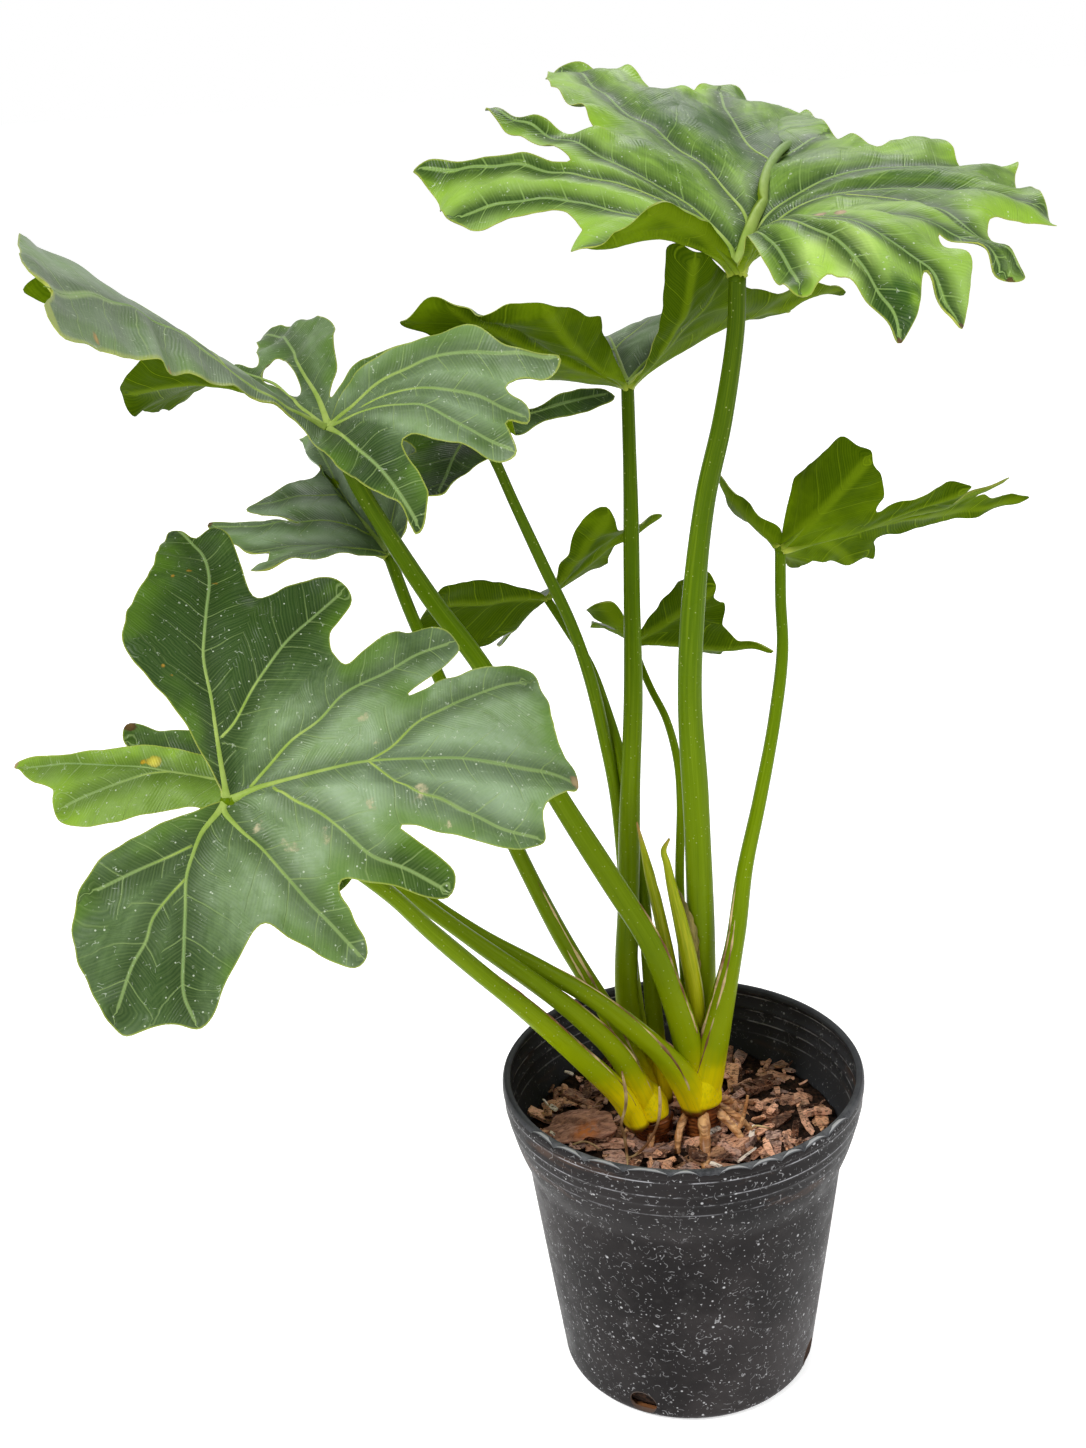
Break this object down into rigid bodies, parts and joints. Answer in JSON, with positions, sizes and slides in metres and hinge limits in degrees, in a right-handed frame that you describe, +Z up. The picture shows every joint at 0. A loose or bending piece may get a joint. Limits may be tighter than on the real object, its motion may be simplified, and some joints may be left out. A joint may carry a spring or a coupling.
{
  "type": "potted tree philodendron",
  "caption": "Potted tree philodendron with deeply lobed leaves on long stalks that rise from stem crowns in bark mix, in a plain round nursery pot with drain holes.",
  "frame": {"origin": "middle of the flat underside of the pot", "axes": "+Z up, -Y towards the front of the plant, +X to the right of the front view"},
  "size_m": [0.7005, 0.4984, 0.9011],
  "materials": {
    "leaf_blade": "satin green leaf with paler veins",
    "leaf_stalk": "smooth satin green stem, yellow at the base",
    "leaf_spear": "satin yellow-green rolled leaf",
    "crown_stem": "ringed brown stem and tan roots",
    "dry_fibre": "matt dried sheath fibre",
    "bark": "rough matt bark chips",
    "pot_plastic": "satin black moulded plastic with light scuffs"
  },
  "bodies": {
    "root": {"pot": "pot_plastic", "bark_mix": "bark", "crown_right": "crown_stem", "crown_left": "crown_stem", "blade_01": "leaf_blade", "blade_02": "leaf_blade", "blade_03": "leaf_blade", "blade_04": "leaf_blade", "blade_05": "leaf_blade", "blade_06": "leaf_blade", "blade_07": "leaf_blade", "blade_08": "leaf_blade", "blade_09": "leaf_blade", "blade_10": "leaf_blade", "blade_11": "leaf_blade", "stalk_01": "leaf_stalk", "stalk_02": "leaf_stalk", "stalk_03": "leaf_stalk", "stalk_04": "leaf_stalk", "stalk_05": "leaf_stalk", "stalk_06": "leaf_stalk", "stalk_07": "leaf_stalk", "stalk_08": "leaf_stalk", "stalk_09": "leaf_stalk", "stalk_10": "leaf_stalk", "stalk_11": "leaf_stalk", "leaf_spear_hooked": "leaf_spear", "leaf_spear_straight": "leaf_spear", "papery_sheath": "dry_fibre", "dry_fibre_long": "dry_fibre", "dry_fibre_short": "dry_fibre"}
  },
  "joints": []
}
